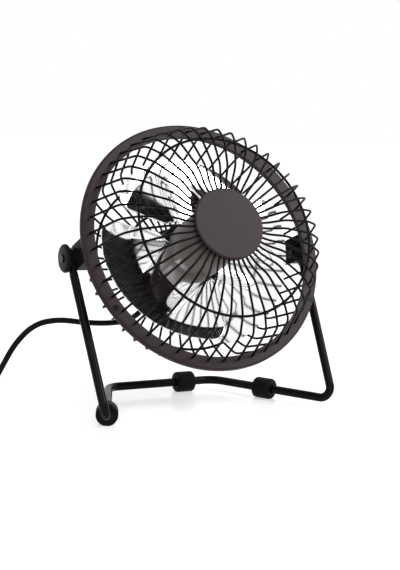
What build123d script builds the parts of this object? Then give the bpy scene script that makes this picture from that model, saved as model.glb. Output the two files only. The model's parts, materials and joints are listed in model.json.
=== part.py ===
"""Desk fan on a bent-tube stand: a tilting round cage with a ring, three metal blades and a cord."""

import math
import os

from build123d import *

os.makedirs("parts", exist_ok=True)

# Driving dimensions, in millimetres and degrees. The pivot axis runs along X.
pivot_y = 12.3
pivot_height = 76.25
tilt_rest = 26.8

# Fits and gaps
running_gap = 0.05
seat_gap = 0.02
clear_gap = 0.3

# Ring: two flat hoops, screwed together, that hold the two cages
ring_radius = 65.0
ring_bore_radius = 58.4
ring_ahead = 14.1
front_rim_thickness = 1.5
rear_rim_thickness = 1.6
ring_edge_round = 1.1

# Cages: straight bent wires on round hoops
wire_count = 46
wire_turn = 1.6
wire_diameter = 1.2
hoop_diameter = 1.4
front_wire_sides = 6
rear_wire_sides = 4
corner_radius = 54.2
corner_bend = 1.6
shoulder_radius = 46.0
front_corner_ahead = 35.6
front_shoulder_ahead = 41.1
front_crown_radius = 30.5
front_crown_ahead = 44.0
front_root_radius = 22.8
front_root_ahead = 41.4
front_foot_radius = 60.8
rear_corner_behind = 9.0
rear_shoulder_behind = 13.6
rear_flat_radius = 29.3
rear_flat_behind = 16.2
rear_foot_radius = 59.8
hub_ring_radius = 12.0

# Cap in the middle of the front cage
cap_radius = 18.3
cap_thickness = 1.5
cap_boss_radius = 8.0
cap_plate_thickness = 1.3
cap_screw_diameter = 3.0

# Motor
motor_plate_radius = 20.0
motor_plate_thickness = 1.0
housing_radius = 17.2
housing_wall = 1.4
housing_front = 1.6
can_radius = 13.8
can_wall = 1.0
shaft_diameter = 3.17
bearing_radius = 4.0
bearing_length = 3.0
magnet_thickness = 2.6
magnet_arc = 130.0
armature_gap = 0.6
commutator_length = 2.4
commutator_radius = 3.4
cover_radius = 18.4
cover_depth = 11.0
cover_wall = 1.5
cover_round = 4.0

# Fan
hub_radius = 14.5
hub_depth = 9.0
hub_centre_ahead = 9.6
blade_tip_radius = 49.5
blade_thickness = 0.8
blade_pitch = 22.0
blade_camber = 2.4
blade_half_angle = 58.0
blade_neck = 15.0
blade_neck_radius = 20.0
blade_waist_beyond = 6.269  # how much further out than the tip's corners the waist lies
blade_waist_across = 23.0
blade_tip_round = 2.6
blade_root_radius = 9.0
blade_count = 3
blade_turn = 99.0
nut_across = 5.5
nut_height = 2.4

# Stand
tube_diameter = 4.35
tube_height = 5.15
leg_top_x = 65.8
foot_front_x = 63.1
foot_front_y = -27.8
foot_rear_x = 31.05
foot_rear_y = 40.2
front_bend = 5.0
rear_bend = 10.0
eye_radius = 5.0
eye_thickness = 3.0
eye_neck_length = 9.0
sleeve_radius = 5.4
sleeve_length = 10.0
sleeve_round = 1.2
left_sleeve_along = 13.4
right_sleeve_along = 33.0
rear_sleeve_x = 13.0

# Pivots
pivot_screw_diameter = 4.0
washer_radius = 5.2
washer_thickness = 0.5
bracket_boss_radius = 6.0
bracket_arm_height = 12.5
bracket_inner_x = 55.6
pivot_nut_across = 7.0
pivot_nut_height = 2.6
knob_radius = 5.4
knob_thickness = 4.6
knob_lobes = 7
knob_lobe_radius = 1.3

# Switch and strain relief on the rear cover
rocker_length = 9.0
rocker_width = 5.0
switch_depth = 5.0
switch_up = 5.5

# Cord
cord_diameter = 2.8

tilt = math.radians(tilt_rest)
facing = Vector(0, -math.cos(tilt), math.sin(tilt))
pivot = Vector(0, pivot_y, pivot_height)
# Head planes: `head` looks along the fan's axis, `side` holds the axis as its local Y.
head = Plane(origin=pivot, x_dir=(1, 0, 0), z_dir=facing)
side = Plane(origin=pivot, x_dir=(1, 0, 0), z_dir=(0, -math.sin(tilt), -math.cos(tilt)))
fan_axis = Axis(pivot, facing)

ring_joint = ring_ahead
ring_front = ring_joint + front_rim_thickness
ring_rear = ring_joint - rear_rim_thickness


def save(part, name):
    """Label one sub-part and write it as its own file."""
    part.label = name
    export_step(part, f"parts/{name}.step")


def turned(points):
    """A body of revolution about the fan's axis from (radius, ahead) points."""
    with BuildPart() as body:
        with BuildSketch(side):
            with BuildLine():
                Polyline(*points, close=True)
            make_face()
        revolve(axis=fan_axis)
    return body.part


def box_profile(inner, outer, back, front):
    """The four corners of a ring's section, as (radius, ahead) points."""
    return [(inner, back), (outer, back), (outer, front), (inner, front)]


# ---------------------------------------------------------------- ring
rim_screw_radius = 62.4
rim_screw_diameter = 1.8
rim_screw_head_radius = 1.7
rim_screw_head = 0.7
rim_screw_sink = 0.9
rim_screw_turns = (90.0, 210.0, 330.0)
rim_screw_bite = 1.2

with BuildPart() as front_rim:
    with BuildSketch(side):
        with BuildLine():
            Polyline(*box_profile(ring_bore_radius, ring_radius, ring_joint, ring_front), close=True)
        make_face()
    revolve(axis=fan_axis)
    front_edges = front_rim.faces().sort_by(fan_axis)[-1].edges()
    fillet(front_edges.sort_by(SortBy.LENGTH)[-1], ring_edge_round)
    with BuildSketch(head.offset(ring_joint)):
        for turn in rim_screw_turns:
            with PolarLocations(rim_screw_radius, 1, start_angle=turn):
                Circle(rim_screw_diameter / 2 + seat_gap)
    extrude(amount=front_rim_thickness, mode=Mode.SUBTRACT)
    with BuildSketch(head.offset(ring_front)):
        for turn in rim_screw_turns:
            with PolarLocations(rim_screw_radius, 1, start_angle=turn):
                Circle(rim_screw_head_radius + seat_gap)
    extrude(amount=-rim_screw_sink, mode=Mode.SUBTRACT)
save(front_rim.part, "front_rim")

with BuildPart() as rear_rim:
    with BuildSketch(head.offset(ring_rear)):
        Circle(ring_radius)
        Circle(ring_bore_radius, mode=Mode.SUBTRACT)
    extrude(amount=rear_rim_thickness)
    with BuildSketch(head.offset(ring_joint)):
        for turn in rim_screw_turns:
            with PolarLocations(rim_screw_radius, 1, start_angle=turn):
                Circle(rim_screw_diameter / 2 + seat_gap)
    extrude(amount=-(rim_screw_bite + seat_gap), mode=Mode.SUBTRACT)
    rear_edges = rear_rim.faces().sort_by(fan_axis)[0].edges()
    fillet(rear_edges.sort_by(SortBy.LENGTH)[-1], ring_edge_round / 2)
save(rear_rim.part, "rear_rim")

with BuildPart() as rim_screws:
    with BuildSketch(head.offset(ring_joint - rim_screw_bite)):
        for turn in rim_screw_turns:
            with PolarLocations(rim_screw_radius, 1, start_angle=turn):
                Circle(rim_screw_diameter / 2)
    extrude(amount=rim_screw_bite + front_rim_thickness - rim_screw_sink)
    with BuildSketch(head.offset(ring_front - rim_screw_sink)):
        for turn in rim_screw_turns:
            with PolarLocations(rim_screw_radius, 1, start_angle=turn):
                Circle(rim_screw_head_radius)
                Rectangle(rim_screw_head_radius * 1.2, 0.4, mode=Mode.SUBTRACT)
    extrude(amount=rim_screw_head)
    with BuildSketch(head.offset(ring_front - rim_screw_sink)):
        for turn in rim_screw_turns:
            with PolarLocations(rim_screw_radius, 1, start_angle=turn):
                Circle(rim_screw_head_radius)
    extrude(amount=rim_screw_head / 2)
save(rim_screws.part, "rim_screws")


# ---------------------------------------------------------------- cages
def bent_wire(points, sides):
    """One cage wire along (radius, ahead) points in the side plane."""
    with BuildPart() as wire:
        with BuildLine(side) as route:
            Polyline(*points)
        start = Plane(origin=route.line @ 0, z_dir=route.line % 0)
        with BuildSketch(start):
            RegularPolygon(wire_diameter / 2, sides)
        sweep(path=route.line, transition=Transition.RIGHT)
    return wire.part


def hoop(radius, ahead):
    """A round hoop of wire, with a four-sided section."""
    half = hoop_diameter / 2
    return turned([(radius - half, ahead), (radius, ahead - half), (radius + half, ahead), (radius, ahead + half)])


def eased(before, corner, after):
    """Two points that cut the corner between two runs at the bend's length."""
    points = []
    for near in (before, after):
        dx = near[0] - corner[0]
        dy = near[1] - corner[1]
        reach = corner_bend / math.hypot(dx, dy)
        points.append((corner[0] + dx * reach, corner[1] + dy * reach))
    return points


front_shoulder = (shoulder_radius, front_shoulder_ahead)
front_corner = (corner_radius, front_corner_ahead)
front_foot = (front_foot_radius, ring_front + seat_gap + wire_diameter * 0.16)
front_route = [
    (hub_ring_radius, front_root_ahead),
    (front_root_radius, front_root_ahead),
    (front_crown_radius, front_crown_ahead),
    front_shoulder,
    *eased(front_shoulder, front_corner, front_foot),
    front_foot,
]

rear_shoulder = (shoulder_radius, -rear_shoulder_behind)
rear_corner = (corner_radius, -rear_corner_behind)
rear_foot = (rear_foot_radius, ring_rear - seat_gap - wire_diameter * 0.16)
rear_route = [
    (hub_ring_radius, -rear_flat_behind),
    (rear_flat_radius, -rear_flat_behind),
    rear_shoulder,
    *eased(rear_shoulder, rear_corner, rear_foot),
    rear_foot,
]


def cage(route, sides, hoops):
    """All the wires of one cage, welded to its hoops as one solid."""
    wire = bent_wire(route, sides)
    wires = []
    for index in range(wire_count):
        wires.append(wire.rotate(fan_axis, wire_turn + index * 360 / wire_count))
    with BuildPart() as body:
        add(hoops[0])
        add(hoops[1:] + wires)
    return body.part


front_hub_ring = turned(
    box_profile(
        hub_ring_radius - 1.0,
        hub_ring_radius + 1.0,
        front_root_ahead - wire_diameter / 2,
        front_root_ahead + wire_diameter / 2,
    )
)
front_grille = cage(
    front_route,
    front_wire_sides,
    [front_hub_ring, hoop(shoulder_radius, front_shoulder_ahead - wire_diameter)],
)
save(front_grille, "front_grille")

rear_hub_ring = turned(
    box_profile(
        hub_ring_radius - 1.0,
        hub_ring_radius + 1.0,
        -rear_flat_behind - wire_diameter / 2,
        -rear_flat_behind + wire_diameter / 2,
    )
)
rear_grille = cage(
    rear_route,
    rear_wire_sides,
    [
        rear_hub_ring,
        hoop(shoulder_radius, -rear_shoulder_behind + wire_diameter * 0.9),
        hoop(rear_flat_radius, -rear_flat_behind + wire_diameter * 0.9),
    ],
)
save(rear_grille, "rear_grille")

# ---------------------------------------------------------------- cap
wire_half = wire_diameter / 2 + seat_gap
cap_back = front_root_ahead + wire_half
cap_front = cap_back + cap_thickness
plate_front = front_root_ahead - wire_half
plate_back = plate_front - cap_plate_thickness
cap_screw_bite = plate_front + 2.6

with BuildPart() as front_cap:
    with BuildSketch(head.offset(cap_back)):
        Circle(cap_radius)
    extrude(amount=cap_thickness)
    fillet(front_cap.faces().sort_by(fan_axis)[-1].edges(), cap_thickness * 0.45)
    with BuildSketch(head.offset(plate_front + seat_gap)):
        Circle(cap_boss_radius)
    extrude(amount=cap_back - plate_front - seat_gap)
    with BuildSketch(head.offset(plate_front + seat_gap)):
        Circle(cap_screw_diameter / 2 + seat_gap)
    extrude(amount=cap_screw_bite - plate_front, mode=Mode.SUBTRACT)
save(front_cap.part, "front_cap")

with BuildPart() as cap_plate:
    with BuildSketch(head.offset(plate_back)):
        Circle(cap_radius - clear_gap)
        Circle(cap_screw_diameter / 2 + seat_gap, mode=Mode.SUBTRACT)
    extrude(amount=cap_plate_thickness)
    chamfer(cap_plate.faces().sort_by(fan_axis)[0].edges().sort_by(SortBy.LENGTH)[-1], 0.4)
save(cap_plate.part, "cap_plate")

with BuildPart() as cap_screw:
    with BuildSketch(head.offset(plate_back)):
        Circle(cap_screw_diameter / 2)
    extrude(amount=cap_screw_bite - plate_back)
    with BuildSketch(head.offset(plate_back)):
        Circle(cap_screw_diameter)
    extrude(amount=-1.6)
    with BuildSketch(head.offset(plate_back - 1.6)):
        Rectangle(cap_screw_diameter * 1.2, 0.7)
        Rectangle(0.7, cap_screw_diameter * 1.2)
    extrude(amount=0.8, mode=Mode.SUBTRACT)
save(cap_screw.part, "cap_screw")

# ---------------------------------------------------------------- motor
plate_rear_face = -rear_flat_behind + wire_half
plate_front_face = plate_rear_face + motor_plate_thickness
cover_front_face = -rear_flat_behind - wire_half
can_back = plate_front_face + seat_gap
can_front = housing_front - housing_wall - seat_gap
can_length = can_front - can_back
shaft_radius = shaft_diameter / 2
screw_radius = 1.25
screw_circle = 9.6
screw_turns = (30.0, 150.0, 270.0)

with BuildPart() as motor_plate:
    with BuildSketch(head.offset(plate_rear_face)):
        Circle(motor_plate_radius)
        Circle(bearing_radius + 1.0, mode=Mode.SUBTRACT)
        for turn in screw_turns:
            with PolarLocations(screw_circle, 1, start_angle=turn):
                Circle(screw_radius + seat_gap, mode=Mode.SUBTRACT)
    extrude(amount=motor_plate_thickness)
save(motor_plate.part, "motor_plate")

with BuildPart() as motor_housing:
    with BuildSketch(head.offset(can_back)):
        Circle(housing_radius)
    extrude(amount=housing_front - can_back)
    fillet(motor_housing.faces().sort_by(fan_axis)[-1].edges(), housing_wall)
    with BuildSketch(head.offset(can_back)):
        Circle(can_radius + seat_gap)
    extrude(amount=housing_front - housing_wall - can_back, mode=Mode.SUBTRACT)
    with BuildSketch(head.offset(can_back)):
        Circle(bearing_radius + 1.0)
    extrude(amount=housing_front - can_back, mode=Mode.SUBTRACT)
    with BuildSketch(head.offset(can_back)):
        with PolarLocations((housing_radius + can_radius) / 2, 18):
            RectangleRounded(1.2, 2.2, 0.4)
    extrude(amount=can_length * 0.6, mode=Mode.SUBTRACT)
save(motor_housing.part, "motor_housing")

end_bell_thickness = 2.0
with BuildPart() as motor_can:
    with BuildSketch(head.offset(can_back + end_bell_thickness + seat_gap)):
        Circle(can_radius)
    extrude(amount=can_length - end_bell_thickness - seat_gap)
    with BuildSketch(head.offset(can_back + end_bell_thickness + seat_gap)):
        Circle(can_radius - can_wall)
    extrude(amount=can_length - end_bell_thickness - seat_gap - can_wall, mode=Mode.SUBTRACT)
    with BuildSketch(head.offset(can_back)):
        Circle(bearing_radius + seat_gap)
    extrude(amount=can_length, mode=Mode.SUBTRACT)
save(motor_can.part, "motor_can")

with BuildPart() as end_bell:
    with BuildSketch(head.offset(can_back)):
        Circle(can_radius)
        Circle(bearing_radius + seat_gap, mode=Mode.SUBTRACT)
        for turn in screw_turns:
            with PolarLocations(screw_circle, 1, start_angle=turn):
                Circle(screw_radius + seat_gap, mode=Mode.SUBTRACT)
    extrude(amount=end_bell_thickness)
save(end_bell.part, "end_bell")

for name, start in (
    ("rear_bearing", can_back),
    ("front_bearing", can_front - bearing_length),
):
    with BuildPart() as bearing:
        with BuildSketch(head.offset(start)):
            Circle(bearing_radius)
            Circle(shaft_radius + running_gap, mode=Mode.SUBTRACT)
        extrude(amount=bearing_length)
    save(bearing.part, name)

commutator_back = can_back + bearing_length + running_gap
magnet_back = commutator_back + commutator_length + seat_gap
armature_length = can_front - bearing_length - armature_gap - magnet_back
magnet_outer = can_radius - can_wall - seat_gap
magnet_inner = magnet_outer - magnet_thickness
with BuildPart() as magnets:
    with BuildSketch(head.offset(magnet_back)):
        Circle(magnet_outer)
        Circle(magnet_inner, mode=Mode.SUBTRACT)
        with PolarLocations(magnet_outer, 2, start_angle=90):
            Rectangle(magnet_outer * 2, magnet_outer * math.cos(math.radians(magnet_arc / 2)) * 2, mode=Mode.SUBTRACT)
    extrude(amount=armature_length)
save(magnets.part, "magnets")

armature_radius = magnet_inner - armature_gap
with BuildPart() as armature:
    with BuildSketch(head.offset(magnet_back)):
        Circle(armature_radius)
        with PolarLocations(armature_radius * 0.75, 5):
            SlotOverall(armature_radius * 0.55, 2.4, mode=Mode.SUBTRACT)
        Circle(shaft_radius, mode=Mode.SUBTRACT)
    extrude(amount=armature_length)
save(armature.part, "armature")

with BuildPart() as commutator:
    with BuildSketch(head.offset(commutator_back)):
        Circle(commutator_radius)
        Circle(shaft_radius, mode=Mode.SUBTRACT)
    extrude(amount=commutator_length)
save(commutator.part, "commutator")

hub_back = hub_centre_ahead - hub_depth / 2
hub_front = hub_centre_ahead + hub_depth / 2
nut_back = hub_front - nut_height + seat_gap
shaft_back = can_back - 0.6
with BuildPart() as shaft:
    with BuildSketch(head.offset(shaft_back)):
        Circle(shaft_radius)
    extrude(amount=hub_front + 1.4 - shaft_back)
    chamfer(shaft.faces().sort_by(fan_axis)[-1].edges(), 0.4)
save(shaft.part, "shaft")

with BuildPart() as rear_cover:
    with BuildSketch(head.offset(cover_front_face)):
        Circle(cover_radius)
    extrude(amount=-cover_depth)
    fillet(rear_cover.faces().sort_by(fan_axis)[0].edges(), cover_round)
    with BuildSketch(head.offset(cover_front_face)):
        Circle(cover_radius - cover_wall)
    extrude(amount=-(cover_depth - cover_wall), mode=Mode.SUBTRACT)
    # Three screw posts carry the cover on the motor plate.
    with BuildSketch(head.offset(cover_front_face)):
        for turn in screw_turns:
            with PolarLocations(screw_circle, 1, start_angle=turn):
                Circle(screw_radius + 1.3)
    extrude(amount=-(cover_depth - cover_wall * 0.5))
    with BuildSketch(head.offset(cover_front_face)):
        for turn in screw_turns:
            with PolarLocations(screw_circle, 1, start_angle=turn):
                Circle(screw_radius + seat_gap)
    extrude(amount=-cover_depth, mode=Mode.SUBTRACT)
    with BuildSketch(head.offset(cover_front_face - cover_depth)):
        with Locations((0, switch_up)):
            Rectangle(rocker_length + 2 * clear_gap, rocker_width + 2 * clear_gap)
    extrude(amount=cover_wall * 1.2, mode=Mode.SUBTRACT)

cover_back = cover_front_face - cover_depth
with BuildPart() as motor_screws:
    with BuildSketch(head.offset(cover_back)):
        for turn in screw_turns:
            with PolarLocations(screw_circle, 1, start_angle=turn):
                Circle(screw_radius)
    extrude(amount=can_back + end_bell_thickness - cover_back)
    with BuildSketch(head.offset(cover_back)):
        for turn in screw_turns:
            with PolarLocations(screw_circle, 1, start_angle=turn):
                Circle(screw_radius * 1.9)
    extrude(amount=-1.0)
save(motor_screws.part, "motor_screws")

# ---------------------------------------------------------------- switch
rocker_axis_back = cover_back + 1.0
switch_plane = Plane(origin=head.from_local_coords((0, switch_up, 0)), x_dir=(1, 0, 0), z_dir=facing)
body_back = cover_back + cover_wall + seat_gap
with BuildPart() as switch_body:
    with BuildSketch(switch_plane.offset(body_back)):
        Rectangle(rocker_length + 2.4, rocker_width + 2.0)
    extrude(amount=switch_depth)
    with BuildSketch(switch_plane.offset(body_back)):
        Rectangle(rocker_length + 2 * clear_gap, rocker_width + 2 * clear_gap)
    extrude(amount=switch_depth - 1.0, mode=Mode.SUBTRACT)
save(switch_body.part, "switch_body")

rocker_half = rocker_length / 2
rocker_side = Plane(origin=switch_plane.origin, x_dir=(1, 0, 0), z_dir=side.z_dir)
with BuildPart() as switch_rocker:
    with BuildSketch(rocker_side.offset(-rocker_width / 2)):
        with BuildLine():
            Polyline(
                (-rocker_half + 0.4, rocker_axis_back + 1.2),
                (0, rocker_axis_back + 3.0),
                (rocker_half - 0.4, rocker_axis_back + 1.2),
                (rocker_half - 0.2, rocker_axis_back - 2.4),
                (0, rocker_axis_back - 1.4),
                (-rocker_half + 0.2, rocker_axis_back - 2.4),
                close=True,
            )
        make_face()
    extrude(amount=rocker_width)
save(switch_rocker.part, "switch_rocker")

# ---------------------------------------------------------------- fan
neck_half = blade_neck / 2
blade_span = blade_tip_radius * math.sin(math.radians(blade_half_angle)) + 2.0
rise = blade_span * math.tan(math.radians(blade_pitch))


def tip_point(angle):
    """A point on the tip circle, in the blade's own plan where X runs outward."""
    return (blade_tip_radius * math.cos(math.radians(angle)), blade_tip_radius * math.sin(math.radians(angle)))


waist_out = tip_point(blade_half_angle)[0] + blade_waist_beyond


def fan_blade(turn):
    """One axe-shaped blade: a pitched and cambered sheet cut to the blade's plan."""
    angle = math.radians(turn)
    out = head.x_dir * math.cos(angle) + head.y_dir * math.sin(angle)
    across = head.y_dir * math.cos(angle) - head.x_dir * math.sin(angle)
    centre = pivot + facing * hub_centre_ahead
    with BuildPart() as blade:
        with BuildSketch(Plane(origin=centre, x_dir=across, z_dir=out)):
            with BuildLine() as section:
                ThreePointArc((-blade_span, -rise), (0, -blade_camber), (blade_span, rise))
            trace(section.line, blade_thickness)
        extrude(amount=blade_tip_radius + 1.0)
        with BuildSketch(Plane(origin=centre - facing * rise * 2, x_dir=out, z_dir=facing)) as plan:
            with BuildLine():
                tip = ThreePointArc(tip_point(-blade_half_angle), tip_point(0), tip_point(blade_half_angle))
                ThreePointArc(tip @ 1, (waist_out, blade_waist_across), (blade_neck_radius, neck_half))
                Polyline(
                    (blade_neck_radius, neck_half),
                    (blade_root_radius, neck_half),
                    (blade_root_radius, -neck_half),
                    (blade_neck_radius, -neck_half),
                )
                ThreePointArc((blade_neck_radius, -neck_half), (waist_out, -blade_waist_across), tip @ 0)
            make_face()
            corners = plan.vertices().sort_by(Axis.Y)
            fillet([corners[0], corners[-1]], blade_tip_round)
        extrude(amount=rise * 4, mode=Mode.INTERSECT)
    return blade.part


blade_parts = [fan_blade(blade_turn + index * 360 / blade_count) for index in range(blade_count)]
blades = Compound(children=blade_parts)
save(blades, "blades")

with BuildPart() as hub:
    with BuildSketch(head.offset(hub_back)):
        Circle(hub_radius)
    extrude(amount=hub_depth)
    fillet(hub.faces().sort_by(fan_axis)[-1].edges(), 1.5)
    with BuildSketch(head.offset(hub_back)):
        Circle(shaft_radius)
    extrude(amount=hub_depth, mode=Mode.SUBTRACT)
    with BuildSketch(head.offset(nut_back)):
        RegularPolygon(nut_across / math.sqrt(3) + seat_gap, 6)
    extrude(amount=nut_height, mode=Mode.SUBTRACT)
    add(blade_parts, mode=Mode.SUBTRACT)
save(hub.part, "hub")

with BuildPart() as hub_nut:
    with BuildSketch(head.offset(nut_back)):
        RegularPolygon(nut_across / math.sqrt(3), 6)
        Circle(shaft_radius, mode=Mode.SUBTRACT)
    extrude(amount=nut_height)
save(hub_nut.part, "hub_nut")

# ---------------------------------------------------------------- stand
points = [
    Vector(-leg_top_x, pivot_y, pivot_height),
    Vector(-foot_front_x, foot_front_y, tube_height),
    Vector(-foot_rear_x, foot_rear_y, tube_height),
    Vector(foot_rear_x, foot_rear_y, tube_height),
    Vector(foot_front_x, foot_front_y, tube_height),
    Vector(leg_top_x, pivot_y, pivot_height),
]
eye_flat = eye_thickness * 0.85
left_leg = (points[1] - points[0]).normalized()
right_leg = (points[4] - points[5]).normalized()
tube_start = points[0] + left_leg * eye_neck_length
tube_end = points[5] + right_leg * eye_neck_length

with BuildPart() as stand_tube:
    with BuildLine() as tube_route:
        FilletPolyline(tube_start, *points[1:5], tube_end, radius=[front_bend, rear_bend, rear_bend, front_bend])
    with BuildSketch(Plane(origin=tube_start, z_dir=left_leg)):
        Circle(tube_diameter / 2)
    sweep(path=tube_route.line)
    for top, leg, outward in ((points[0], left_leg, -1), (points[5], right_leg, 1)):
        # The tube's end is pressed flat into an eye for the pivot screw.
        with BuildSketch(Plane(origin=top + leg * eye_neck_length, x_dir=(1, 0, 0), z_dir=leg * -1)):
            Circle(tube_diameter / 2)
        flat_plane = Plane(origin=top + leg * (washer_radius + 0.4), x_dir=(1, 0, 0), z_dir=leg * -1)
        with BuildSketch(flat_plane):
            RectangleRounded(eye_flat, eye_radius * 1.4, eye_flat * 0.4)
        loft()
        with BuildSketch(flat_plane):
            RectangleRounded(eye_flat, eye_radius * 1.4, eye_flat * 0.4)
        extrude(amount=eye_radius)
        with BuildSketch(Plane.YZ.offset(top.X - eye_thickness / 2)):
            with Locations((top.Y, top.Z)):
                Circle(eye_radius)
        extrude(amount=eye_thickness)
        with BuildSketch(Plane.YZ.offset(top.X - eye_thickness)):
            with Locations((top.Y, top.Z)):
                Circle(pivot_screw_diameter / 2 + running_gap)
        extrude(amount=eye_thickness * 2, mode=Mode.SUBTRACT)
save(stand_tube.part, "stand_tube")

left_run = (points[2] - points[1]).normalized()
right_run = (points[3] - points[4]).normalized()
right_length = (points[3] - points[4]).length
sleeves = {
    "foot_sleeve_left": (points[1] + left_run * left_sleeve_along, left_run),
    "foot_sleeve_right": (points[3] - right_run * right_sleeve_along, right_run),
    "foot_sleeve_rear": (Vector(rear_sleeve_x, foot_rear_y, tube_height), Vector(1, 0, 0)),
}
for name, (centre, along) in sleeves.items():
    sleeve_plane = Plane(origin=centre - along * (sleeve_length / 2), z_dir=along)
    with BuildPart() as sleeve:
        with BuildSketch(sleeve_plane):
            Circle(sleeve_radius)
        extrude(amount=sleeve_length)
        fillet(sleeve.edges(), sleeve_round)
        with BuildSketch(sleeve_plane):
            Circle(tube_diameter / 2 + seat_gap)
        extrude(amount=sleeve_length, mode=Mode.SUBTRACT)
        # The underside is flat where it stands on the table.
        split(bisect_by=Plane.XY, keep=Keep.TOP)
    save(sleeve.part, name)

# ---------------------------------------------------------------- pivots
eye_inner_x = leg_top_x - eye_thickness / 2
eye_outer_x = leg_top_x + eye_thickness / 2
bracket_outer_x = eye_inner_x - washer_thickness - running_gap
washer_x = eye_inner_x - washer_thickness - running_gap / 2
knob_inner_x = eye_outer_x + running_gap
skirt_slope = (rear_foot_radius - corner_radius) / (rear_foot[1] + rear_corner_behind)
nut_inner_x = bracket_outer_x - 3.2 - pivot_nut_height


def skirt_radius(ahead):
    """The radius that keeps the bracket clear of the rear cage's wires."""
    return corner_radius + (ahead + rear_corner_behind) * skirt_slope + wire_diameter / 2 + clear_gap


for hand, sign in (("left", -1), ("right", 1)):
    bracket_plane = Plane(origin=pivot, x_dir=facing, z_dir=(1, 0, 0))
    pivot_axis = Plane(origin=pivot, x_dir=facing, z_dir=(sign, 0, 0))
    arm_half = bracket_arm_height / 2
    low = -bracket_boss_radius
    with BuildPart() as bracket:
        with BuildSketch(pivot_axis.offset(bracket_inner_x)):
            Circle(bracket_boss_radius)
            with Locations((ring_rear / 2, 0)):
                Rectangle(ring_rear - 2 * seat_gap, bracket_arm_height)
        extrude(amount=bracket_outer_x - bracket_inner_x)
        with BuildSketch(side):
            with BuildLine():
                Polyline(
                    (0, low - 2),
                    (skirt_radius(low - 2), low - 2),
                    (skirt_radius(ring_rear), ring_rear),
                    (0, ring_rear),
                    close=True,
                )
            make_face()
        revolve(axis=fan_axis, mode=Mode.SUBTRACT)
        with BuildSketch(pivot_axis.offset(nut_inner_x)):
            RegularPolygon(pivot_nut_across / math.sqrt(3) + seat_gap, 6)
        extrude(amount=pivot_nut_height, mode=Mode.SUBTRACT)
        with BuildSketch(pivot_axis.offset(bracket_inner_x - 1)):
            RegularPolygon(pivot_nut_across / math.sqrt(3) + seat_gap, 6)
        extrude(amount=nut_inner_x - bracket_inner_x + 1, mode=Mode.SUBTRACT)
        with BuildSketch(pivot_axis.offset(nut_inner_x)):
            Circle(pivot_screw_diameter / 2 + running_gap)
        extrude(amount=bracket_outer_x - nut_inner_x, mode=Mode.SUBTRACT)
    save(bracket.part, f"pivot_bracket_{hand}")

    with BuildPart() as nut:
        with BuildSketch(pivot_axis.offset(nut_inner_x)):
            RegularPolygon(pivot_nut_across / math.sqrt(3), 6)
            Circle(pivot_screw_diameter / 2 + running_gap, mode=Mode.SUBTRACT)
        extrude(amount=pivot_nut_height - seat_gap)
    save(nut.part, f"pivot_nut_{hand}")

    with BuildPart() as washer:
        with BuildSketch(pivot_axis.offset(washer_x)):
            Circle(washer_radius)
            Circle(pivot_screw_diameter / 2 + running_gap, mode=Mode.SUBTRACT)
        extrude(amount=washer_thickness - running_gap / 2)
    save(washer.part, f"pivot_washer_{hand}")

    with BuildPart() as screw:
        with BuildSketch(pivot_axis.offset(nut_inner_x)):
            Circle(pivot_screw_diameter / 2)
        extrude(amount=knob_inner_x + knob_thickness * 0.7 - nut_inner_x)
    save(screw.part, f"knob_screw_{hand}")

    with BuildPart() as knob:
        with BuildSketch(pivot_axis.offset(knob_inner_x)):
            Circle(knob_radius)
            with PolarLocations(knob_radius - knob_lobe_radius * 0.4, knob_lobes):
                Circle(knob_lobe_radius)
        extrude(amount=knob_thickness)
        chamfer(knob.faces().sort_by(Axis.X)[-1 if sign > 0 else 0].edges(), 0.4)
        with BuildSketch(pivot_axis.offset(knob_inner_x)):
            Circle(pivot_screw_diameter / 2)
        extrude(amount=knob_thickness * 0.7, mode=Mode.SUBTRACT)
    save(knob.part, f"knob_{hand}")

# ---------------------------------------------------------------- strain relief and cord
cord_radius = cord_diameter / 2
relief_turn = math.radians(225.0)
relief_length = 9.0
relief_collar = 3.0
relief_neck_radius = cord_radius + 0.9
relief_across = head.x_dir * math.cos(relief_turn) + head.y_dir * math.sin(relief_turn)
relief_aim = (relief_across - facing * 0.3).normalized()
relief_root = pivot + facing * (cover_back + cover_depth / 2) + relief_across * (cover_radius - 2.5)
relief_start = relief_root + relief_aim * 1.2
relief_shoulder = relief_start + relief_aim * relief_collar
relief_tip = relief_start + relief_aim * relief_length

with BuildPart(mode=Mode.PRIVATE) as relief_hole:
    with BuildSketch(Plane(origin=relief_root - relief_aim * 2, z_dir=relief_aim)):
        Circle(relief_neck_radius)
    extrude(amount=8.0)
with BuildPart() as drilled_cover:
    add(rear_cover.part)
    add(relief_hole.part, mode=Mode.SUBTRACT)
save(drilled_cover.part, "rear_cover")

with BuildPart() as strain_relief:
    with BuildSketch(Plane(origin=relief_shoulder, z_dir=relief_aim)):
        Circle(relief_neck_radius + 1.1)
    with BuildSketch(Plane(origin=relief_tip, z_dir=relief_aim)):
        Circle(cord_radius + 0.5)
    loft()
    with BuildSketch(Plane(origin=relief_root - relief_aim * 1.5, z_dir=relief_aim)):
        Circle(relief_neck_radius - seat_gap)
    extrude(amount=(relief_shoulder - relief_root).length + 1.5)
save(strain_relief.part, "strain_relief")


def cord_tube(name, points):
    """A cord along straight runs joined by arcs as large as the runs allow."""
    radii = []
    for before, corner, after in zip(points, points[1:], points[2:]):
        half_turn = math.radians((corner - before).get_angle(after - corner)) / 2
        shorter = min((corner - before).length, (after - corner).length)
        radii.append(0.45 * shorter / math.tan(half_turn))
    with BuildPart() as tube:
        with BuildLine() as route:
            FilletPolyline(*points, radius=radii)
        with BuildSketch(Plane(origin=route.line @ 0, z_dir=route.line % 0)):
            Circle(cord_radius)
        sweep(path=route.line)
    length = sum(edge.length for edge in route.edges())
    print(name, "length", round(length, 1), "radii", [round(radius, 1) for radius in radii])
    print(name, "volume share", round(tube.part.volume / (length * math.pi * cord_radius**2), 4))
    save(tube.part, name)
    return length


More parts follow.
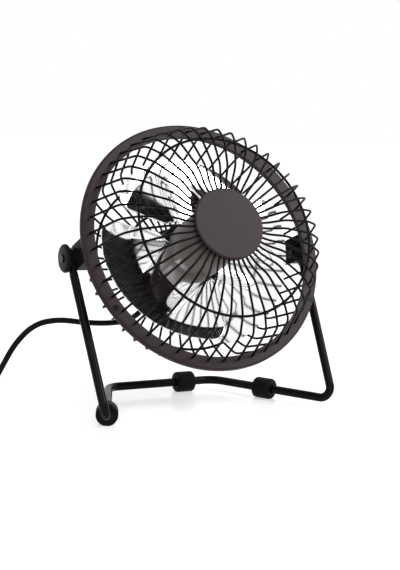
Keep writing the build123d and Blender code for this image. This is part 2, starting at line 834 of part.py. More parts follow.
# The cord leaves the motor, sags behind the left leg, rises a little and drops to the table.
drop_points = [
    relief_tip,
    relief_tip + relief_aim * 9.0,
    Vector(-39.5, 25.2, 41.2),
    Vector(-54.0, 23.2, 42.8),
    Vector(-67.5, 21.4, 45.2),
    Vector(-80.0, 21.2, 43.6),
    Vector(-89.5, 22.4, 34.6),
    Vector(-95.5, 24.6, 22.4),
    Vector(-101.0, 27.0, 11.0),
    Vector(-110.0, 30.6, 2.6),
    Vector(-121.0, 33.4, cord_radius),
    Vector(-132.0, 34.0, cord_radius),
]
run_points = [
    drop_points[-1],
    Vector(-143.0, 34.6, cord_radius),
    Vector(-157.0, 32.2, cord_radius),
    Vector(-171.0, 25.4, cord_radius),
    Vector(-181.5, 14.0, cord_radius),
]
drop_length = cord_tube("cord_drop", drop_points)
run_length = cord_tube("cord_run", run_points)

coil_mid_radius = 5.5 * cord_diameter
coil_wide = 3
coil_high = 3
coil_half = coil_wide * cord_radius
coil_height = coil_high * cord_diameter
coil_centre = Vector(-181.5 + coil_mid_radius, 4.0, 0)
with BuildPart() as cord_coil:
    with BuildSketch(Plane.XZ.offset(-coil_centre.Y)):
        with Locations((coil_centre.X + coil_mid_radius, coil_height / 2)):
            RectangleRounded(2 * coil_half, coil_height, cord_radius)
    revolve(axis=Axis(coil_centre, (0, 0, 1)))
save(cord_coil.part, "cord_coil")

# ---------------------------------------------------------------- plug
plug_length = 18.0
plug_width = 12.6
plug_height = 7.4
shell_length = 14.0
shell_width = 12.0
shell_height = 4.5
shell_wall = 0.4
tail_points = [
    Vector(coil_centre.X + 4.0, coil_centre.Y - coil_mid_radius - coil_half, cord_radius + 0.4),
    Vector(coil_centre.X + 12.0, coil_centre.Y - coil_mid_radius - coil_half - 5.0, cord_radius + 0.8),
    Vector(coil_centre.X + 17.0, coil_centre.Y - coil_mid_radius - coil_half - 14.0, plug_height / 2),
    Vector(coil_centre.X + 17.0, coil_centre.Y - coil_mid_radius - coil_half - 24.0, plug_height / 2),
]
tail_length = cord_tube("cord_tail", tail_points)
plug_start = Plane(origin=(tail_points[-1].X, tail_points[-1].Y, plug_height / 2), z_dir=(0, -1, 0), x_dir=(1, 0, 0))
with BuildPart() as plug_body:
    with BuildSketch(plug_start.offset(seat_gap)):
        Circle(cord_radius + 0.8)
    with BuildSketch(plug_start.offset(7.0)):
        Circle(plug_height / 2 - 0.4)
    loft()
    with BuildSketch(plug_start.offset(5.0)):
        RectangleRounded(plug_width, plug_height, 1.6)
    extrude(amount=plug_length)
    with BuildSketch(plug_start.offset(5.0 + plug_length - 4.0)):
        Rectangle(shell_width + 2 * seat_gap, shell_height + 2 * seat_gap)
    extrude(amount=4.0, mode=Mode.SUBTRACT)
save(plug_body.part, "plug_body")

with BuildPart() as plug_shell:
    with BuildSketch(plug_start.offset(5.0 + plug_length - 4.0 + seat_gap)):
        Rectangle(shell_width, shell_height)
        Rectangle(shell_width - 2 * shell_wall, shell_height - 2 * shell_wall, mode=Mode.SUBTRACT)
    extrude(amount=shell_length)
    with BuildSketch(plug_start.offset(5.0 + plug_length - 4.0 + seat_gap)):
        with Locations((0, -shell_height / 4 + shell_wall / 2)):
            Rectangle(shell_width - 2 * shell_wall, shell_height / 2 - shell_wall)
    extrude(amount=shell_length - 0.5)
save(plug_shell.part, "plug_shell")
turn_length = 2 * math.pi * coil_mid_radius
coil_length = turn_length * coil_wide * coil_high
print("cord length", round(drop_length + run_length + coil_length + tail_length, 0))
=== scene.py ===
import bpy
import json
import math
from mathutils import Matrix, Vector


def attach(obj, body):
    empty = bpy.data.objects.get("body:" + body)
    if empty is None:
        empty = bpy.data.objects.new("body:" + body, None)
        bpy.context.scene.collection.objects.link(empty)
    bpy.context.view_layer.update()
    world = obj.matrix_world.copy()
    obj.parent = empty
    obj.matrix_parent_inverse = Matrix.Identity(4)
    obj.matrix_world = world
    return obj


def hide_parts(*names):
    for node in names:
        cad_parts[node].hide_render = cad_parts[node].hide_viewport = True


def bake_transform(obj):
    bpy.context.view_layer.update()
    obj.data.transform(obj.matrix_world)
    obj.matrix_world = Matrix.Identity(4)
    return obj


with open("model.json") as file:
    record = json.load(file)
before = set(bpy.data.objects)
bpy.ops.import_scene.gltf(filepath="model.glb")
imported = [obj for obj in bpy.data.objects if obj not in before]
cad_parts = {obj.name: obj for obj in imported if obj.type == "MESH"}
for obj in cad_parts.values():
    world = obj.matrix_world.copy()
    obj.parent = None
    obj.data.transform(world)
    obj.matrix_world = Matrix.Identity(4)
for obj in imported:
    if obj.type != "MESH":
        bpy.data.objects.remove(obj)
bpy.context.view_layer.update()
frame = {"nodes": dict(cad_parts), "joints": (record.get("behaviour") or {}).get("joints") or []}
nodes = frame["nodes"]
joints = {joint["name"]: joint for joint in frame["joints"]}
mm = 0.001
pivot = Vector(joints["head_tilt"]["pos_m"])
facing = Vector(joints["fan_spin"]["axis"]).normalized()
rightward = Vector((1, 0, 0))
upward = facing.cross(rightward)
print("frame loaded, nodes:", len(nodes))


def headPoint(radius, turn, ahead):
    # A place on the tilted head: radius and ahead in millimetres, turn in degrees
    angle = math.radians(turn)
    across = rightward * math.cos(angle) + upward * math.sin(angle)
    return pivot + (across * radius + facing * ahead) * mm


# Camera
cameraView = {
    "place": (-0.3281, -0.6000, 0.1493),
    "yaw": 28.62,
    "pitch": -7.23,
    "roll": 1.71,
    "lens": 124.4,
}


def addCamera(view):
    yaw, pitch = math.radians(view["yaw"]), math.radians(view["pitch"])
    look = Vector((math.sin(yaw) * math.cos(pitch), math.cos(yaw) * math.cos(pitch), math.sin(pitch)))
    level = Vector((math.cos(yaw), -math.sin(yaw), 0))
    over = level.cross(look)
    roll = math.radians(view["roll"])
    side = level * math.cos(roll) + over * math.sin(roll)
    top = over * math.cos(roll) - level * math.sin(roll)
    data = bpy.data.cameras.new("camera")
    data.sensor_fit = "HORIZONTAL"
    data.sensor_width = 36
    data.lens = view["lens"]
    data.clip_start = 0.01
    camera = bpy.data.objects.new("camera", data)
    bpy.context.scene.collection.objects.link(camera)
    turned = Matrix((side, top, -look)).transposed().to_4x4()
    camera.matrix_world = Matrix.Translation(view["place"]) @ turned
    bpy.context.scene.camera = camera


addCamera(cameraView)


# Mesh helpers
def linkMesh(name, verts, faces, smooth=True):
    mesh = bpy.data.meshes.new(name)
    mesh.from_pydata([tuple(v) for v in verts], [], faces)
    mesh.validate()
    if smooth:
        mesh.polygons.foreach_set("use_smooth", [True] * len(mesh.polygons))
    piece = bpy.data.objects.new(name, mesh)
    bpy.context.scene.collection.objects.link(piece)
    return piece


def addTube(verts, faces, path, radius, sides, closed=False):
    # A round tube along path, with its section carried round the bends without twist
    count = len(path)
    base = len(verts)
    normal = None
    for index, point in enumerate(path):
        if closed:
            along = path[(index + 1) % count] - path[index - 1]
        else:
            along = path[min(index + 1, count - 1)] - path[max(index - 1, 0)]
        along.normalize()
        if normal is None:
            helper = Vector((0, 0, 1)) if abs(along.z) < 0.9 else Vector((0, 1, 0))
            normal = along.cross(helper).normalized()
        normal = (normal - along * normal.dot(along)).normalized()
        other = along.cross(normal)
        for step in range(sides):
            angle = 2 * math.pi * step / sides
            verts.append(point + (normal * math.cos(angle) + other * math.sin(angle)) * radius)
    for row in range(count if closed else count - 1):
        near = base + row * sides
        far = base + ((row + 1) % count) * sides
        for step in range(sides):
            after = (step + 1) % sides
            faces.append((near + step, near + after, far + after, far + step))
    if not closed:
        faces.append(tuple(base + step for step in reversed(range(sides))))
        faces.append(tuple(base + (count - 1) * sides + step for step in range(sides)))


def bentRoute(points, bend, steps=4):
    # Corners of a (radius, ahead) route become short curves, which never reach the middle of a run
    route = [points[0]]
    for before, corner, after in zip(points, points[1:], points[2:]):
        here = Vector(corner)
        reachIn = min(bend, (Vector(before) - here).length * 0.45)
        reachOut = min(bend, (Vector(after) - here).length * 0.45)
        start = here + (Vector(before) - here).normalized() * reachIn
        end = here + (Vector(after) - here).normalized() * reachOut
        for step in range(steps + 1):
            t = step / steps
            route.append(tuple(start * (1 - t) ** 2 + here * 2 * t * (1 - t) + end * t ** 2))
    route.append(points[-1])
    return route


# Materials
def newMaterial(name):
    material = bpy.data.materials.new(name)
    material.use_nodes = True
    tree = material.node_tree
    shader = tree.nodes["Principled BSDF"]
    return material, tree, shader


def addNode(tree, kind, **settings):
    node = tree.nodes.new(kind)
    for key, value in settings.items():
        if key in node.inputs:
            node.inputs[key].default_value = value
        else:
            setattr(node, key, value)
    return node


# Shared by the finishes: where two tones meet, how sharp an edge is before it looks rubbed,
# how far the haze spreads the roughness of metal, and how deep its lines are
toneSpan = (0.3, 0.7)
edgeSpan = (0.53, 0.62)
hazeSpan = (0.7, 1.3)
lineDepth = 0.0001


def grainyFinish(name, look):
    # Colour that drifts between two tones, rubbed edges, uneven gloss and a fine grain
    material, tree, shader = newMaterial(name)
    link = tree.links.new
    place = addNode(tree, "ShaderNodeTexCoord")
    drift = addNode(tree, "ShaderNodeTexNoise", Scale=look["driftScale"], Detail=3.0)
    grain = addNode(tree, "ShaderNodeTexNoise", Scale=look["grainScale"], Detail=2.0)
    link(place.outputs["Object"], drift.inputs["Vector"])
    link(place.outputs["Object"], grain.inputs["Vector"])
    tones = addNode(tree, "ShaderNodeValToRGB")
    for stop, spot, colour in zip(tones.color_ramp.elements, toneSpan, (look["dark"], look["light"])):
        stop.position = spot
        stop.color = (*colour, 1)
    link(drift.outputs["Fac"], tones.inputs["Fac"])
    shape = addNode(tree, "ShaderNodeNewGeometry")
    edge = addNode(tree, "ShaderNodeMapRange")
    edge.inputs["From Min"].default_value, edge.inputs["From Max"].default_value = edgeSpan
    edge.inputs["To Max"].default_value = look["wear"]
    link(shape.outputs["Pointiness"], edge.inputs["Value"])
    rubbed = addNode(tree, "ShaderNodeMix", data_type="RGBA")
    rubbed.inputs["B"].default_value = (*look["rub"], 1)
    link(edge.outputs["Result"], rubbed.inputs["Factor"])
    link(tones.outputs["Color"], rubbed.inputs["A"])
    link(rubbed.outputs["Result"], shader.inputs["Base Color"])
    gloss = addNode(tree, "ShaderNodeMapRange")
    gloss.inputs["To Min"].default_value = look["roughness"] - look["roughSpread"]
    gloss.inputs["To Max"].default_value = look["roughness"] + look["roughSpread"]
    link(drift.outputs["Fac"], gloss.inputs["Value"])
    link(gloss.outputs["Result"], shader.inputs["Roughness"])
    bump = addNode(tree, "ShaderNodeBump", Strength=look["bump"], Distance=look["bumpDepth"])
    link(grain.outputs["Fac"], bump.inputs["Height"])
    link(bump.outputs["Normal"], shader.inputs["Normal"])
    shader.inputs["IOR"].default_value = 1.5
    shader.inputs["Specular IOR Level"].default_value = look["specular"]
    return material


def brushedMetal(name, look):
    # Metal with fine lines drawn along one direction
    material, tree, shader = newMaterial(name)
    link = tree.links.new
    place = addNode(tree, "ShaderNodeTexCoord")
    stretch = addNode(tree, "ShaderNodeMapping")
    stretch.inputs["Scale"].default_value = look["stretch"]
    lines = addNode(tree, "ShaderNodeTexNoise", Scale=look["lineScale"], Detail=4.0)
    haze = addNode(tree, "ShaderNodeTexNoise", Scale=look["hazeScale"], Detail=2.0)
    link(place.outputs["Object"], stretch.inputs["Vector"])
    link(stretch.outputs["Vector"], lines.inputs["Vector"])
    link(place.outputs["Object"], haze.inputs["Vector"])
    tones = addNode(tree, "ShaderNodeValToRGB")
    tones.color_ramp.elements[0].color = (*look["dark"], 1)
    tones.color_ramp.elements[1].color = (*look["light"], 1)
    link(lines.outputs["Fac"], tones.inputs["Fac"])
    link(tones.outputs["Color"], shader.inputs["Base Color"])
    gloss = addNode(tree, "ShaderNodeMapRange")
    gloss.inputs["To Min"].default_value = look["roughness"] * hazeSpan[0]
    gloss.inputs["To Max"].default_value = look["roughness"] * hazeSpan[1]
    link(haze.outputs["Fac"], gloss.inputs["Value"])
    link(gloss.outputs["Result"], shader.inputs["Roughness"])
    bump = addNode(tree, "ShaderNodeBump", Strength=look["bump"], Distance=lineDepth)
    link(lines.outputs["Fac"], bump.inputs["Height"])
    link(bump.outputs["Normal"], shader.inputs["Normal"])
    shader.inputs["Metallic"].default_value = 1.0
    return material


# Painted, coated and plastic surfaces take grainyFinish, bare metal takes brushedMetal
finishes = {
    "ringPaint": grainyFinish("ringPaint", {
        "dark": (0.032, 0.020, 0.022), "light": (0.043, 0.029, 0.031), "rub": (0.085, 0.065, 0.066),
        "wear": 0.35, "roughness": 0.42, "roughSpread": 0.05, "driftScale": 45, "grainScale": 1500,
        "bump": 0.12, "bumpDepth": 0.0002, "specular": 0.12,
    }),
    "wireCoat": grainyFinish("wireCoat", {
        "dark": (0.004, 0.003, 0.003), "light": (0.008, 0.006, 0.006), "rub": (0.02, 0.018, 0.018),
        "wear": 0.3, "roughness": 0.34, "roughSpread": 0.06, "driftScale": 90, "grainScale": 2200,
        "bump": 0.08, "bumpDepth": 0.0001, "specular": 0.05,
    }),
    "tubePaint": grainyFinish("tubePaint", {
        "dark": (0.004, 0.003, 0.003), "light": (0.007, 0.006, 0.006), "rub": (0.025, 0.022, 0.022),
        "wear": 0.3, "roughness": 0.24, "roughSpread": 0.05, "driftScale": 60, "grainScale": 900,
        "bump": 0.05, "bumpDepth": 0.0002, "specular": 0.07,
    }),
    "grainPlastic": grainyFinish("grainPlastic", {
        "dark": (0.010, 0.008, 0.008), "light": (0.017, 0.014, 0.014), "rub": (0.045, 0.04, 0.04),
        "wear": 0.35, "roughness": 0.5, "roughSpread": 0.07, "driftScale": 50, "grainScale": 1800,
        "bump": 0.25, "bumpDepth": 0.0002, "specular": 0.1,
    }),
    "hubPlastic": grainyFinish("hubPlastic", {
        "dark": (0.12, 0.095, 0.09), "light": (0.17, 0.14, 0.135), "rub": (0.26, 0.23, 0.22),
        "wear": 0.3, "roughness": 0.35, "roughSpread": 0.06, "driftScale": 60, "grainScale": 1500,
        "bump": 0.1, "bumpDepth": 0.0002, "specular": 0.4,
    }),
    "glossPlastic": grainyFinish("glossPlastic", {
        "dark": (0.005, 0.004, 0.004), "light": (0.009, 0.007, 0.007), "rub": (0.03, 0.027, 0.027),
        "wear": 0.3, "roughness": 0.38, "roughSpread": 0.05, "driftScale": 70, "grainScale": 1200,
        "bump": 0.05, "bumpDepth": 0.0002, "specular": 0.07,
    }),
    "sleeveRubber": grainyFinish("sleeveRubber", {
        "dark": (0.005, 0.004, 0.004), "light": (0.010, 0.008, 0.008), "rub": (0.03, 0.027, 0.027),
        "wear": 0.4, "roughness": 0.55, "roughSpread": 0.08, "driftScale": 120, "grainScale": 2000,
        "bump": 0.3, "bumpDepth": 0.0002, "specular": 0.07,
    }),
    "cordSheath": grainyFinish("cordSheath", {
        "dark": (0.004, 0.003, 0.003), "light": (0.008, 0.007, 0.007), "rub": (0.03, 0.027, 0.027),
        "wear": 0.2, "roughness": 0.42, "roughSpread": 0.08, "driftScale": 80, "grainScale": 1600,
        "bump": 0.15, "bumpDepth": 0.0002, "specular": 0.07,
    }),
    "palePlastic": grainyFinish("palePlastic", {
        "dark": (0.55, 0.54, 0.50), "light": (0.66, 0.65, 0.61), "rub": (0.75, 0.74, 0.70),
        "wear": 0.2, "roughness": 0.45, "roughSpread": 0.06, "driftScale": 60, "grainScale": 1500,
        "bump": 0.1, "bumpDepth": 0.0002, "specular": 0.4,
    }),
    "ferrite": grainyFinish("ferrite", {
        "dark": (0.06, 0.06, 0.06), "light": (0.10, 0.10, 0.10), "rub": (0.2, 0.2, 0.2),
        "wear": 0.3, "roughness": 0.6, "roughSpread": 0.08, "driftScale": 90, "grainScale": 1800,
        "bump": 0.3, "bumpDepth": 0.0002, "specular": 0.4,
    }),
    "bladeMetal": brushedMetal("bladeMetal", {
        "dark": (0.94, 0.94, 0.94), "light": (0.99, 0.99, 0.99), "stretch": (1, 1, 14), "lineScale": 160,
        "hazeScale": 40, "roughness": 0.085, "bump": 0.001,
    }),
    "brightSteel": brushedMetal("brightSteel", {
        "dark": (0.48, 0.48, 0.49), "light": (0.62, 0.62, 0.63), "stretch": (1, 12, 1), "lineScale": 300,
        "hazeScale": 80, "roughness": 0.3, "bump": 0.05,
    }),
    "blackScrew": brushedMetal("blackScrew", {
        "dark": (0.03, 0.028, 0.028), "light": (0.06, 0.056, 0.055), "stretch": (1, 12, 1),
        "lineScale": 300, "hazeScale": 80, "roughness": 0.35, "bump": 0.05,
    }),
    "copper": brushedMetal("copper", {
        "dark": (0.70, 0.36, 0.22), "light": (0.86, 0.48, 0.30), "stretch": (1, 8, 1), "lineScale": 300,
        "hazeScale": 80, "roughness": 0.35, "bump": 0.05,
    }),
}
nodeFinishes = {
    "ringPaint": ["front_rim", "rear_rim", "front_cap", "cap_plate", "motor_plate"],
    "tubePaint": ["stand_tube", "rim_screws"],
    "grainPlastic": ["motor_housing", "rear_cover", "switch_body"],
    "glossPlastic": [
        "switch_rocker", "pivot_bracket_left", "pivot_bracket_right",
        "pivot_washer_left", "pivot_washer_right",
    ],
    "sleeveRubber": [
        "foot_sleeve_left", "foot_sleeve_right", "foot_sleeve_rear", "strain_relief", "plug_body",
    ],
    "palePlastic": ["end_bell"],
    "ferrite": ["magnets"],
    "copper": ["commutator"],
    "blackScrew": [
        "pivot_nut_left", "pivot_nut_right", "knob_screw_left", "knob_screw_right", "motor_screws",
    ],
}


def finishNode(node, finish):
    data = nodes[node].data
    data.materials.clear()
    data.materials.append(finishes[finish])


def finishPiece(piece, finish, body):
    piece.data.materials.clear()
    piece.data.materials.append(finishes[finish])
    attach(piece, body)


for name in nodes:
    finishNode(name, "brightSteel")
for finish, members in nodeFinishes.items():
    for member in members:
        finishNode(member, finish)
print("materials made:", len(finishes))

# Cord: leaves the motor, sags behind the left leg, drops to the table and runs to a put-away coil
cord = {
    "diameter": 2.8,
    "sides": 14,
    # The strain relief on the pod, where the cord comes out
    "reliefTurn": 225,
    "reliefBehind": 22.32,
    "reliefRadius": 15.9,
    "reliefLean": 0.3,
    "reliefLength": 10.2,
    "straightOut": 9,
    "coilMiddle": (-166.1, 4.0),
    "coilRadius": 15.4,
    "coilPitch": 2.9,
    "coilStart": 165,
    "coilTurns": 8.2,
    "pointsPerTurn": 16,
    # Where, in turns from the start, the winding steps to the next ring out (+) or in (-)
    "ringSteps": [(0.80, -1), (1.80, -1), (3.50, 1), (4.50, 1), (6.20, -1), (7.20, -1)],
    "layerSteps": [2.65, 5.35, 8.0],
    "stepReach": 0.15,
}


def easedStep(value, start, reach):
    t = min(max((value - start) / reach, 0), 1)
    return t * t * (3 - 2 * t)


def coilPoint(turns):
    # Three rings and three layers, wound outside in, then inside out, then outside in
    reach = cord["stepReach"]
    ring = 1 + sum(way * easedStep(turns, start, reach) for start, way in cord["ringSteps"])
    layer = sum(easedStep(turns, start, reach) for start in cord["layerSteps"])
    # A spline of order 3 runs inside its controls, so they stand out by this share
    slack = 0.75 + 0.25 * math.cos(2 * math.pi / cord["pointsPerTurn"])
    radius = (cord["coilRadius"] + ring * cord["coilPitch"]) / slack
    angle = math.radians(cord["coilStart"] + 360 * turns)
    x, y = cord["coilMiddle"]
    height = cord["diameter"] / 2 + layer * cord["coilPitch"]
    return Vector((x + radius * math.cos(angle), y + radius * math.sin(angle), height))


def cordRoute():
    reliefTurn = math.radians(cord["reliefTurn"])
    across = rightward * math.cos(reliefTurn) + upward * math.sin(reliefTurn)
    aim = (across - facing * cord["reliefLean"]).normalized()
    root = pivot / mm - facing * cord["reliefBehind"] + across * cord["reliefRadius"]
    tip = root + aim * cord["reliefLength"]
    low = cord["diameter"] / 2
    points = [
        tip,
        tip + aim * cord["straightOut"],
        Vector((-39.5, 25.2, 41.2)),
        Vector((-54.0, 23.2, 42.8)),
        Vector((-67.5, 21.4, 45.2)),
        Vector((-80.0, 21.2, 43.6)),
        Vector((-89.5, 22.4, 34.6)),
        Vector((-95.5, 24.6, 22.4)),
        Vector((-101.0, 27.0, 11.0)),
        Vector((-110.0, 30.6, 2.6)),
        Vector((-121.0, 33.4, low)),
        Vector((-132.0, 34.0, low)),
        Vector((-143.0, 34.6, low)),
        Vector((-157.0, 32.2, low)),
        Vector((-171.0, 25.4, low)),
        Vector((-181.5, 14.0, low)),
    ]
    steps = round(cord["coilTurns"] * cord["pointsPerTurn"])
    points += [coilPoint(step / cord["pointsPerTurn"]) for step in range(steps + 1)]
    # Over the wound turns and down to the plug
    x, y = cord["coilMiddle"]
    points += [Vector((x + dx, y + dy, height)) for dx, dy, height in (
        (-4.2, -14.2, 10.4),
        (-0.2, -17.6, 10.5),
        (4.6, -21.4, 9.4),
        (9.8, -26.4, 6.3),
        (14.2, -31.8, 4.0),
        (17.0, -38.0, 3.7),
        (17.0, -43.6, 3.7),
    )]
    return points


def splinePoints(name, points):
    # The points along a smooth spline that has the given ones as its controls
    curve = bpy.data.curves.new(name, "CURVE")
    curve.dimensions = "3D"
    spline = curve.splines.new("NURBS")
    spline.points.add(len(points) - 1)
    for slot, point in zip(spline.points, points):
        slot.co = (*(point * mm), 1)
    spline.order_u = 3
    spline.use_endpoint_u = True
    spline.resolution_u = 6
    holder = bpy.data.objects.new(name, curve)
    line = bpy.data.meshes.new_from_object(holder)
    path = [vertex.co.copy() for vertex in line.vertices]
    bpy.data.objects.remove(holder)
    bpy.data.meshes.remove(line)
    return path


def buildCord():
    path = splinePoints("cordLine", cordRoute())
    verts, faces = [], []
    addTube(verts, faces, path, cord["diameter"] / 2 * mm, cord["sides"])
    piece = linkMesh("usbCord", verts, faces)
    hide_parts("cord_drop", "cord_run", "cord_coil", "cord_tail")
    piece.data.materials.append(finishes["cordSheath"])
    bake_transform(piece)
    return piece


usbCord = buildCord()

# Cages, as (radius, ahead) routes turned about the fan's axis
cage = {
    "wires": 46,
    "turn": 1.6,
    "wireRadius": 0.58,
    "hoopRadius": 0.68,
    "sides": 10,
    "hoopSteps": 180,
    "bend": 2.6,
    "front": [
        (11.0, 41.4), (22.8, 41.4), (30.5, 44.0), (46.0, 41.1), (54.2, 35.6), (60.8, 15.75),
    ],
    "frontHoops": [(46.0, 39.9), (12.0, 41.4)],
    "rear": [(11.0, -16.2), (29.3, -16.2), (46.0, -13.6), (54.2, -9.0), (59.8, 12.35)],
    "rearHoops": [(46.0, -12.5), (29.3, -15.1), (12.0, -16.2)],
}


def buildCage(name, route, hoops, node):
    verts, faces = [], []
    steps = cage["hoopSteps"]
    line = bentRoute(route, cage["bend"])
    for index in range(cage["wires"]):
        turn = cage["turn"] + index * 360 / cage["wires"]
        path = [headPoint(radius, turn, ahead) for radius, ahead in line]
        addTube(verts, faces, path, cage["wireRadius"] * mm, cage["sides"])
    for radius, ahead in hoops:
        path = [headPoint(radius, step * 360 / steps, ahead) for step in range(steps)]
        addTube(verts, faces, path, cage["hoopRadius"] * mm, cage["sides"], closed=True)
    piece = linkMesh(name, verts, faces)
    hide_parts(node)
    finishPiece(piece, "wireCoat", "head")
    return piece


frontCage = buildCage("frontCageWires", cage["front"], cage["frontHoops"], "front_grille")
rearCage = buildCage("rearCageWires", cage["rear"], cage["rearHoops"], "rear_grille")
print("cages built")


# Blades: three broad polished petals, pressed with a middle rib and dished towards the hub
blade = {
    "count": 3,
    "turn": 99,
    "tipRadius": 49.4,
    "rootRadius": 12.5,
    "reach": (64, 55),
    "cornerRound": 9,
    "rootShare": 0.6,
    "shoulder": 24,
    "pitch": 10,
    "ahead": 8.2,
    "camber": 1.6,
    "dishSlope": 0.30,
    "dishEnds": (35.0, 44.0),
    "dishTurn": (-6, 12),
    "dishBlend": 0.9,
    "ribHalf": 4.0,
    "ribBlend": 9.0,
    "thickness": 0.8,
    "ringsAcross": 60,
    "stepsRound": 110,
}


def bladeHeight(radius, angle):
    # How far ahead of the pivot the blade's middle surface lies
    across = radius * math.sin(math.radians(angle))
    height = blade["ahead"] + across * math.tan(math.radians(blade["pitch"]))
    height += blade["camber"] * (across / blade["tipRadius"]) ** 2
    # Either side of the middle rib the sheet is pressed into a shallow dish
    low, high = blade["dishEnds"]
    inside = low + (high - low) * easedStep(across, *blade["dishTurn"]) - radius
    soft = blade["dishBlend"]
    dip = (inside + math.sqrt(inside ** 2 + soft ** 2)) / 2
    side = easedStep(abs(across), blade["ribHalf"], blade["ribBlend"])
    return height + blade["dishSlope"] * dip * side


def bladeReach(radius, way):
    # The angle the blade covers to one side: round tips, narrowing to the hub
    full = blade["reach"][way]
    reach = full
    past = radius - (blade["tipRadius"] - blade["cornerRound"])
    if past > 0:
        cut = blade["cornerRound"] - math.sqrt(max(blade["cornerRound"] ** 2 - past ** 2, 0))
        reach -= math.degrees(cut / radius)
    narrow = 1 - easedStep(radius, blade["rootRadius"], blade["shoulder"] - blade["rootRadius"])
    return reach - full * (1 - blade["rootShare"]) * narrow


def buildBlades():
    verts, faces = [], []
    rings, steps = blade["ringsAcross"], blade["stepsRound"]
    for index in range(blade["count"]):
        middle = blade["turn"] + index * 360 / blade["count"]
        base = len(verts)
        for side in (1, -1):
            for ring in range(rings + 1):
                share = math.sin(math.pi / 2 * ring / rings)
                radius = blade["rootRadius"] + (blade["tipRadius"] - blade["rootRadius"]) * share
                low, high = -bladeReach(radius, 0), bladeReach(radius, 1)
                for step in range(steps + 1):
                    angle = low + (high - low) * step / steps
                    height = bladeHeight(radius, angle) + side * blade["thickness"] / 2
                    verts.append(headPoint(radius, middle + angle, height))
        row = steps + 1
        back = base + (rings + 1) * row
        for ring in range(rings):
            for step in range(steps):
                here = ring * row + step
                faces.append((base + here, base + here + row, base + here + row + 1, base + here + 1))
                faces.append((back + here, back + here + 1, back + here + row + 1, back + here + row))
        border = [step for step in range(row)]
        border += [ring * row + steps for ring in range(1, rings + 1)]
        border += [rings * row + step for step in range(steps - 1, -1, -1)]
        border += [ring * row for ring in range(rings - 1, 0, -1)]
        for here, after in zip(border, border[1:] + border[:1]):
            faces.append((base + here, base + after, back + after, back + here))
    piece = linkMesh("petalBlades", verts, faces)
    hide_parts("blades")
    finishPiece(piece, "bladeMetal", "fan")
    return piece


petalBlades = buildBlades()
print("blades built")

# Turned pieces
def turnProfile(name, profile, axis, steps=96, grip=None):
    # Turns (radius, place) corners about an axis through the pivot, with grip ribs on the rim
    across = axis.orthogonal().normalized()
    other = axis.cross(across)
    verts, faces = [], []
    for radius, place in profile:
        for step in range(steps):
            angle = 2 * math.pi * step / steps
            spoke = across * math.cos(angle) + other * math.sin(angle)
            reach = radius
            if grip and radius > grip["from"]:
                reach += grip["depth"] * math.cos(angle * grip["count"])
            verts.append(pivot + (spoke * reach + axis * place) * mm)
    for ring in range(len(profile) - 1):
        for step in range(steps):
            here, after = ring * steps + step, ring * steps + (step + 1) % steps
            faces.append((here, after, after + steps, here + steps))
    return linkMesh(name, verts, faces)


# The hub reaches from the blades' roots to just behind the cap
hub = {
    "profile": [
        (4, 5.1), (14.1, 5.1), (14.9, 5.9), (15.1, 14.4), (14.9, 27), (14.1, 29.4), (11.8, 30.6), (4, 30.6),
    ],
}
hubSleeve = turnProfile("hubSleeve", hub["profile"], facing)
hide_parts("hub")
finishPiece(hubSleeve, "hubPlastic", "fan")

# Thin ribbed knobs on both ends of the pivot line
knob = {
    "profile": [(0, 67.4), (6.4, 67.4), (6.8, 67.8), (6.8, 69.0), (6.4, 69.5), (5.2, 69.8), (0, 69.8)],
    "grip": {"from": 6.4, "depth": 0.22, "count": 24},
}
for side, outward in (("left", -rightward), ("right", rightward)):
    knobGrip = turnProfile(side + "KnobGrip", knob["profile"], outward, grip=knob["grip"])
    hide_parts("knob_" + side)
    finishPiece(knobGrip, "glossPlastic", side + "_knob")
print("turned pieces built")

# Floor, light and background
stage = {
    "floorHalf": 6,
    "floorTone": 0.9,
    "floorRoughness": 0.22,
    "floorShine": 0.32,
    "floorGlow": 0.5,
    "roomLight": 0.3,
    "flagTowards": (0.20, -0.52, 0.83),
    "flagEdge": (0.915, 0.92),
    "flagTone": 0.0,
    "lightAim": (0, 0, 0.07),
    "lightSize": 0.7,
    "lights": {
        "keyLight": {"place": (0.9, -0.8, 1.1), "power": 16},
        "fillLight": {"place": (-0.6, -1.1, 0.9), "power": 5},
    },
}


def seenDirectly(tree):
    # 1 for camera, mirror and glass rays, 0 for those that only light the object
    rays = addNode(tree, "ShaderNodeLightPath")
    total = rays.outputs["Is Camera Ray"]
    for output in ("Is Glossy Ray", "Is Transmission Ray"):
        plus = addNode(tree, "ShaderNodeMath", operation="ADD", use_clamp=True)
        tree.links.new(total, plus.inputs[0])
        tree.links.new(rays.outputs[output], plus.inputs[1])
        total = plus.outputs["Value"]
    return total


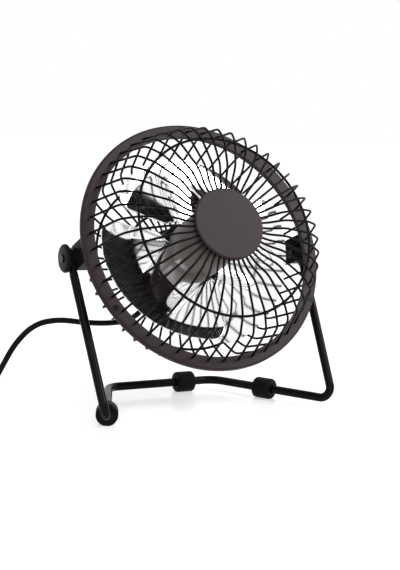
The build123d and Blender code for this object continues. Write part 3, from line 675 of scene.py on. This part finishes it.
def addFloor():
    half = stage["floorHalf"]
    corners = [(-half, -half, 0), (half, -half, 0), (half, half, 0), (-half, half, 0)]
    floor = linkMesh("floor", corners, [(0, 1, 2, 3)], smooth=False)
    material, tree, shader = newMaterial("paleFloor")
    tone = stage["floorTone"]
    shader.inputs["Base Color"].default_value = (tone, tone, tone, 1)
    shader.inputs["Roughness"].default_value = stage["floorRoughness"]
    shader.inputs["Specular IOR Level"].default_value = stage["floorShine"]
    glow = addNode(tree, "ShaderNodeEmission", Color=(1, 1, 1, 1))
    level = addNode(tree, "ShaderNodeMath", operation="MULTIPLY")
    level.inputs[1].default_value = stage["floorGlow"]
    both = addNode(tree, "ShaderNodeAddShader")
    tree.links.new(seenDirectly(tree), level.inputs[0])
    tree.links.new(level.outputs["Value"], glow.inputs["Strength"])
    tree.links.new(shader.outputs["BSDF"], both.inputs[0])
    tree.links.new(glow.outputs["Emission"], both.inputs[1])
    tree.links.new(both.outputs["Shader"], tree.nodes["Material Output"].inputs["Surface"])
    floor.data.materials.append(material)


def addSoftLight(name, look):
    data = bpy.data.lights.new(name, "AREA")
    data.shape = "RECTANGLE"
    data.size = data.size_y = stage["lightSize"]
    data.energy = look["power"]
    lamp = bpy.data.objects.new(name, data)
    lamp.location = look["place"]
    towards = Vector(stage["lightAim"]) - Vector(look["place"])
    lamp.rotation_euler = towards.to_track_quat("-Z", "Y").to_euler()
    bpy.context.scene.collection.objects.link(lamp)


def addWorld():
    # A white room with one dark patch overhead, which the polished blades mirror
    world = bpy.data.worlds.new("paleRoom")
    bpy.context.scene.world = world
    world.use_nodes = True
    tree = world.node_tree
    background = tree.nodes["Background"]
    place = addNode(tree, "ShaderNodeTexCoord")
    towards = addNode(tree, "ShaderNodeVectorMath", operation="DOT_PRODUCT")
    towards.inputs[1].default_value = Vector(stage["flagTowards"]).normalized()
    tone = addNode(tree, "ShaderNodeMapRange")
    tone.inputs["From Min"].default_value, tone.inputs["From Max"].default_value = stage["flagEdge"]
    tone.inputs["To Min"].default_value = 1.0
    tone.inputs["To Max"].default_value = stage["flagTone"]
    strength = addNode(tree, "ShaderNodeMapRange")
    strength.inputs["To Min"].default_value = stage["roomLight"]
    strength.inputs["To Max"].default_value = 1.0
    tree.links.new(place.outputs["Generated"], towards.inputs[0])
    tree.links.new(towards.outputs["Value"], tone.inputs["Value"])
    tree.links.new(tone.outputs["Result"], background.inputs["Color"])
    tree.links.new(seenDirectly(tree), strength.inputs["Value"])
    tree.links.new(strength.outputs["Result"], background.inputs["Strength"])


addFloor()
addWorld()
for name, look in stage["lights"].items():
    addSoftLight(name, look)
bpy.context.scene.view_settings.view_transform = "Standard"
print("stage lit")
